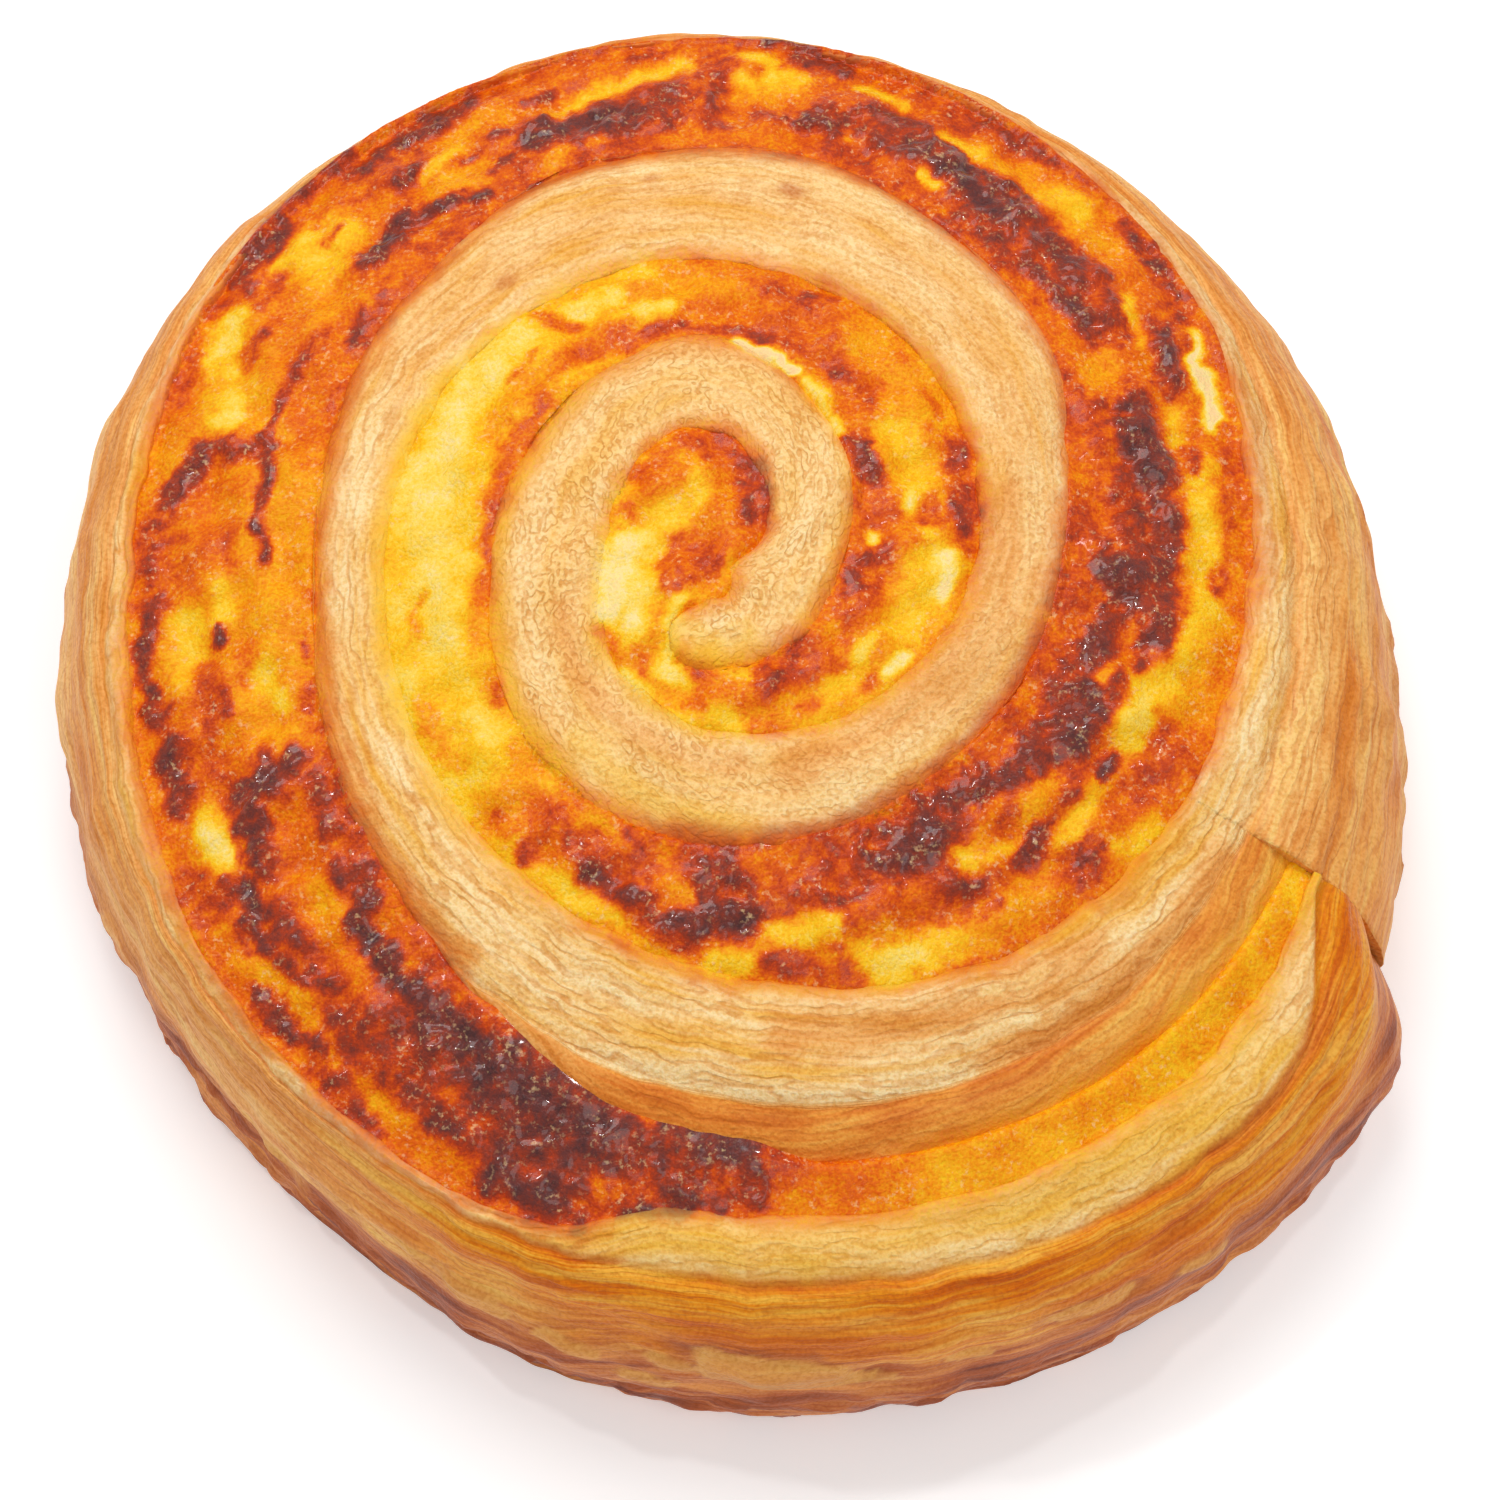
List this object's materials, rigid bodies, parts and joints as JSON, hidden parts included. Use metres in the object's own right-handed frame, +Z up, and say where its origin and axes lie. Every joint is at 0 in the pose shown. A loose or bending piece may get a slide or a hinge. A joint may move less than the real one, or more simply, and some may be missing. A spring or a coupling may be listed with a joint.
{
  "type": "cheese pastry",
  "caption": "Round baked swirl of laminated dough rolled up with a browned cheese filling, with a domed spiral top, a rounded outer wall and a flat base.",
  "frame": {"origin": "on the base plane, below the middle of the outline", "axes": "+Z up through the domed spiral top, -Y towards the picture's viewer, +X to the right of the picture, where the strip's tail ends"},
  "size_m": [0.1186, 0.1258, 0.0362],
  "materials": {
    "dough": "baked laminated dough, pale on the cut edges and golden brown on the wall, satin",
    "cheese": "melted cheese baked yellow, orange and dark brown, glossy and craggy"
  },
  "bodies": {
    "root": {"dough": "dough", "cheese_filling": "cheese"}
  },
  "joints": []
}
